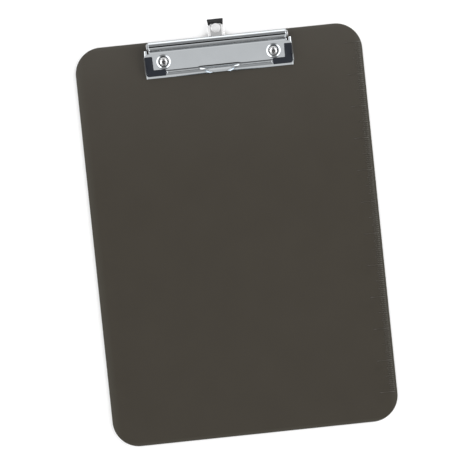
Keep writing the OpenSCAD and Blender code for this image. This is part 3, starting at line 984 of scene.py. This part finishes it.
def floor():
    """Plain pale paper. For the camera it also glows a little, except close to the board, where the
    missing glow paints shade.
    """
    mesh = bpy.data.meshes.new("floor")
    size, z = FLOOR_HALF, board_low.z - FLOOR_GAP
    mesh.from_pydata([(-size, -size, z), (size, -size, z), (size, size, z), (-size, size, z)],
                     [], [(0, 1, 2, 3)])
    plane = new_object("floor", mesh)
    finish = Finish("floor_paper", Roughness=0.9)
    finish.drive("Base Color", finish.mix(finish.noise(8), (0.58, 0.58, 0.58), (0.60, 0.60, 0.60)))
    # Painted shade: the glow fades where ambient occlusion finds the board or the hook close above.
    open_sky = finish.node("AmbientOcclusion", {"Distance": SHADE_REACH}).outputs["AO"]
    strength = finish.ramp(open_sky, SHADE_LOW, SHADE_HIGH, 0, FLOOR_GLOW)
    glow = finish.node("Emission", {"Strength": strength}).outputs[0]
    lit = finish.node("AddShader", {0: finish.shader.outputs[0], 1: glow}).outputs[0]
    seen = finish.node("LightPath").outputs["Is Camera Ray"]
    paper = finish.node("MixShader", {0: seen, 1: finish.shader.outputs[0], 2: lit}).outputs[0]
    finish.tree.links.new(paper, finish.tree.nodes["Material Output"].inputs["Surface"])
    mesh.materials.append(finish.material)


# Brightness of the studio by the angle in degrees round the X axis: 0 is the horizon at the
# clip's end, 90 the dark ceiling round the camera, 180 the other horizon and 270 the floor
STUDIO = [(-90, 0.9), (0, 1.6), (16, 1.6), (38, 0.36), (60, 0.24), (80, 0.24), (81.2, 0.62),
          (83, 0.62), (84.2, 0.2), (86, 0.2), (88, 0.0), (114.5, 0.0), (116, 0.2), (118, 0.61),
          (121, 0.61), (123, 0.78), (126, 0.6), (140, 0.42), (158, 0.24), (180, 0.24), (270, 0.9)]
SIDE_GLOW = 1.8
SIDE_START, SIDE_END = 0.22, 0.5   # the share of X in a direction over which the side glow grows
BACKDROP = (0.95, 0.95, 0.95, 1)


def studio():
    """Soft light all round, in bands along X that the plating mirrors. The camera itself sees
    a plain pale backdrop."""
    world = bpy.data.worlds.new("studio")
    bpy.context.scene.world = world
    world.use_nodes = True
    tree = world.node_tree
    tree.nodes.clear()
    place = add_node(tree, "TexCoord").outputs["Generated"]
    x, y, z = add_node(tree, "SeparateXYZ", {0: place}).outputs
    angle = add_node(tree, "Math", {0: z, 1: y}, operation="ARCTAN2").outputs[0]
    low, high = math.radians(STUDIO[0][0]), math.radians(STUDIO[-1][0])
    wrapped = add_node(tree, "Math", {0: angle, 1: high, 2: low}, operation="WRAP").outputs[0]
    share = add_node(tree, "MapRange", {0: wrapped, 1: low, 2: high}).outputs[0]
    ramp = add_node(tree, "ValToRGB", {0: share})
    stops = ramp.color_ramp.elements
    brightest = max(value for _, value in STUDIO)
    for i, (degrees, value) in enumerate(STUDIO):
        at = (degrees - STUDIO[0][0]) / 360
        stop = stops[i] if i < 2 else stops.new(at)
        stop.position, shade = at, value / brightest
        stop.color = (shade, shade, shade, 1)
    side = add_node(tree, "Math", {0: x}, operation="ABSOLUTE").outputs[0]
    reach = {0: side, 1: SIDE_START, 2: SIDE_END, 3: 0, 4: 1}
    glow = add_node(tree, "MapRange", reach, interpolation_type="SMOOTHSTEP").outputs[0]
    bright_side = (*[SIDE_GLOW / brightest] * 3, 1)
    blend = {0: glow, 6: ramp.outputs[0], 7: bright_side}
    color = add_node(tree, "Mix", blend, data_type="RGBA").outputs[2]
    light = add_node(tree, "Background", {"Color": color, "Strength": brightest}).outputs[0]
    backdrop = add_node(tree, "Background", {"Color": BACKDROP}).outputs[0]
    seen = add_node(tree, "LightPath").outputs["Is Camera Ray"]
    chosen = add_node(tree, "MixShader", {0: seen, 1: light, 2: backdrop}).outputs[0]
    add_node(tree, "OutputWorld", {"Surface": chosen})


def softbox(name, place, aim, size, power):
    """A square light of this size in metres and power in watts, turned to face aim."""
    data = bpy.data.lights.new(name, "AREA")
    data.shape, data.size, data.energy = "SQUARE", size, power
    lamp = new_object(name, data)
    lamp.location = place
    lamp.rotation_euler = (Vector(aim) - Vector(place)).to_track_quat("-Z", "Y").to_euler()


LENS, SENSOR = 106, 36   # in millimetres
DISTANCE = 1.0985        # from the aim, in metres
CAMERA_TILT = (math.radians(-0.35), math.radians(1.1))   # from straight above, towards X and Y
CAMERA_ROLL = math.radians(5.95)
AIM = Vector((-1.7, 0.4, 0)) * MM + Vector((0, 0, board_high.z))


def camera():
    """The photo's view: nearly straight down, with the board turned a few degrees."""
    data = bpy.data.cameras.new("camera")
    data.lens, data.sensor_width = LENS, SENSOR
    data.clip_start, data.clip_end = 0.05, 20
    view = new_object("camera", data)
    back = Vector((math.sin(CAMERA_TILT[0]), math.sin(CAMERA_TILT[1]), 1)).normalized()
    right = Vector((math.cos(CAMERA_ROLL), -math.sin(CAMERA_ROLL), 0))
    right = (right - back * right.dot(back)).normalized()
    up = back.cross(right)
    turn = Matrix((right, up, back)).transposed().to_4x4()
    view.matrix_world = Matrix.Translation(AIM + back * DISTANCE) @ turn
    bpy.context.scene.camera = view


floor()
studio()
softbox("key", place=(1.6, 0.4, 1.0), aim=(0, 0.05, 0), size=1.0, power=12)
camera()
bpy.context.scene.view_settings.view_transform = "Standard"
